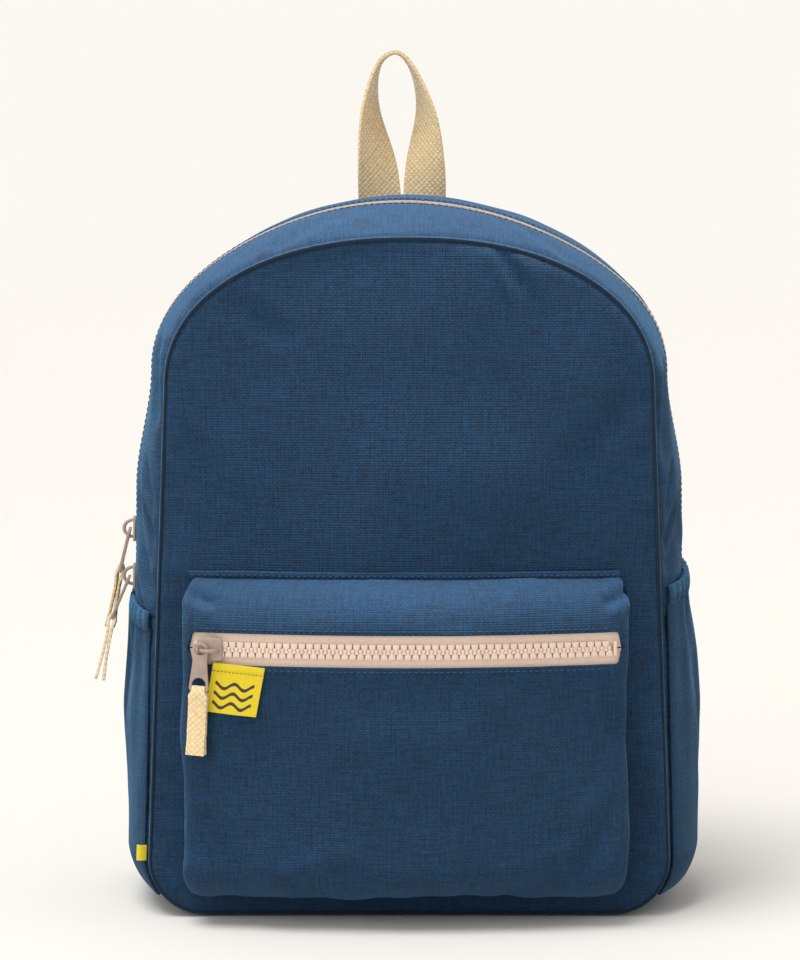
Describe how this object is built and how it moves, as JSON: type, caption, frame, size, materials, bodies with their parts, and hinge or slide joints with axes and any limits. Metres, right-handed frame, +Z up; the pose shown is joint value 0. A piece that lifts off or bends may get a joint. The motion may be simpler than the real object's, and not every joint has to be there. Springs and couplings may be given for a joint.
{
  "type": "school backpack",
  "caption": "Small canvas school backpack with a zipped front pocket, side bottle pockets, a webbing grab handle and padded shoulder straps.",
  "frame": {"origin": "centre of the flat base that the bag stands on", "axes": "+Z up through the bag, front pocket faces -Y, the wearer's back is at +Y, +X is to the right seen from the front"},
  "size_m": [0.3171, 0.2156, 0.4448],
  "materials": {
    "canvas": "navy plain-weave cotton canvas with a visible weave",
    "lining": "matte spacer mesh and lining cloth",
    "foam": "closed-cell foam, hidden",
    "binding": "matte seam tape",
    "zip_tape": "pale beige knitted tape",
    "zip_teeth": "moulded beige teeth",
    "zip_metal": "beige enamel on zinc",
    "webbing": "natural cotton webbing, coarse weave",
    "label": "yellow damask-woven label",
    "buckle": "moulded navy plastic"
  },
  "bodies": {
    "bag": {"front_panel": "canvas", "back_panel": "canvas", "back_foam": "foam", "back_lining": "lining", "gusset_top_front": "canvas", "gusset_top_rear": "canvas", "gusset_lower": "canvas", "seam_binding_front": "binding", "seam_binding_back": "binding", "main_zip_tape_front": "zip_tape", "main_zip_teeth_front": "zip_teeth", "main_zip_tape_rear": "zip_tape", "main_zip_teeth_rear": "zip_teeth", "main_zip_stop_left": "zip_teeth", "main_zip_stop_right": "zip_teeth", "pocket_lower": "canvas", "pocket_upper": "canvas", "pocket_zip_tape_lower": "zip_tape", "pocket_zip_teeth_lower": "zip_teeth", "pocket_zip_tape_upper": "zip_tape", "pocket_zip_teeth_upper": "zip_teeth", "pocket_zip_stop_left": "zip_teeth", "pocket_zip_stop_right": "zip_teeth", "side_tag": "label", "bottle_pocket_left": "canvas", "bottle_hem_left": "canvas", "bottle_pocket_right": "canvas", "bottle_hem_right": "canvas", "strap_yoke": "canvas", "strap_anchor_left": "canvas", "strap_anchor_right": "canvas"},
    "upper_slider": {"main_slider_upper": "zip_metal"},
    "upper_pull": {"main_pull_upper": "zip_metal"},
    "upper_pull_loop": {"main_pull_loop_upper": "webbing"},
    "lower_slider": {"main_slider_lower": "zip_metal"},
    "lower_pull": {"main_pull_lower": "zip_metal"},
    "lower_pull_loop": {"main_pull_loop_lower": "webbing"},
    "front_slider": {"pocket_slider": "zip_metal"},
    "front_pull": {"pocket_pull": "zip_metal"},
    "front_pull_loop": {"pocket_pull_loop": "webbing"},
    "handle": {"grab_handle": "webbing"},
    "label": {"woven_label": "label"},
    "shoulder_strap_left": {"strap_face_left": "canvas", "strap_foam_left": "foam", "strap_lining_left": "lining", "strap_webbing_left": "webbing", "ladder_lock_left": "buckle", "strap_tail_left": "webbing"},
    "shoulder_strap_right": {"strap_face_right": "canvas", "strap_foam_right": "foam", "strap_lining_right": "lining", "strap_webbing_right": "webbing", "ladder_lock_right": "buckle", "strap_tail_right": "webbing"}
  },
  "joints": [
    {"name": "upper_slider_run", "type": "slide", "parent": "bag", "child": "upper_slider", "axis": [0.0139, 0, 0.9999], "range_m": [0, 0.062]},
    {"name": "upper_pull_swing", "type": "hinge", "parent": "upper_slider", "child": "upper_pull", "pos_m": [-0.14645, -0.004, 0.19463], "axis": [0, 1, 0], "range_deg": [-2, 105]},
    {"name": "upper_loop_swing", "type": "hinge", "parent": "upper_pull", "child": "upper_pull_loop", "pos_m": [-0.15235, 0.00306, 0.1723], "axis": [0.0747, 0.9563, 0.2827], "range_deg": [-2, 45]},
    {"name": "lower_slider_run", "type": "slide", "parent": "bag", "child": "lower_slider", "axis": [0.0139, 0, 0.9999], "range_m": [-0.003, 0.006]},
    {"name": "lower_pull_swing", "type": "hinge", "parent": "lower_slider", "child": "lower_pull", "pos_m": [-0.1468, -0.004, 0.16961], "axis": [0, 1, 0], "range_deg": [-2, 105]},
    {"name": "lower_loop_swing", "type": "hinge", "parent": "lower_pull", "child": "lower_pull_loop", "pos_m": [-0.15574, -0.01106, 0.14831], "axis": [-0.1133, 0.9563, -0.2695], "range_deg": [-2, 45]},
    {"name": "front_slider_run", "type": "hinge", "parent": "bag", "child": "front_slider", "pos_m": [0, 0.353, 0.144], "axis": [0, 0, 1], "range_deg": [0, 24]},
    {"name": "front_pull_swing", "type": "hinge", "parent": "front_slider", "child": "front_pull", "pos_m": [-0.10464, -0.09064, 0.144], "axis": [-0.2213, -0.9752, 0], "range_deg": [-60, 8]},
    {"name": "front_loop_swing", "type": "hinge", "parent": "front_pull", "child": "front_pull_loop", "pos_m": [-0.10567, -0.09041, 0.12378], "axis": [-0.9739, 0.221, 0.0523], "range_deg": [-3, 45]},
    {"name": "handle_flop", "type": "hinge", "parent": "bag", "child": "handle", "pos_m": [-0.0035, 0.061, 0.365], "axis": [1, 0, 0], "range_deg": [-25, 45]},
    {"name": "label_lift", "type": "hinge", "parent": "bag", "child": "label", "pos_m": [-0.08527, -0.0903, 0.1365], "axis": [-0.982, 0.189, 0], "range_deg": [0, 70]},
    {"name": "strap_swing_left", "type": "hinge", "parent": "bag", "child": "shoulder_strap_left", "pos_m": [-0.035, 0.07, 0.326], "axis": [0.2481, 0.026, 0.9684], "range_deg": [-20, 4]},
    {"name": "strap_swing_right", "type": "hinge", "parent": "bag", "child": "shoulder_strap_right", "pos_m": [0.035, 0.07, 0.326], "axis": [0.2481, -0.026, -0.9684], "range_deg": [-20, 4]}
  ]
}
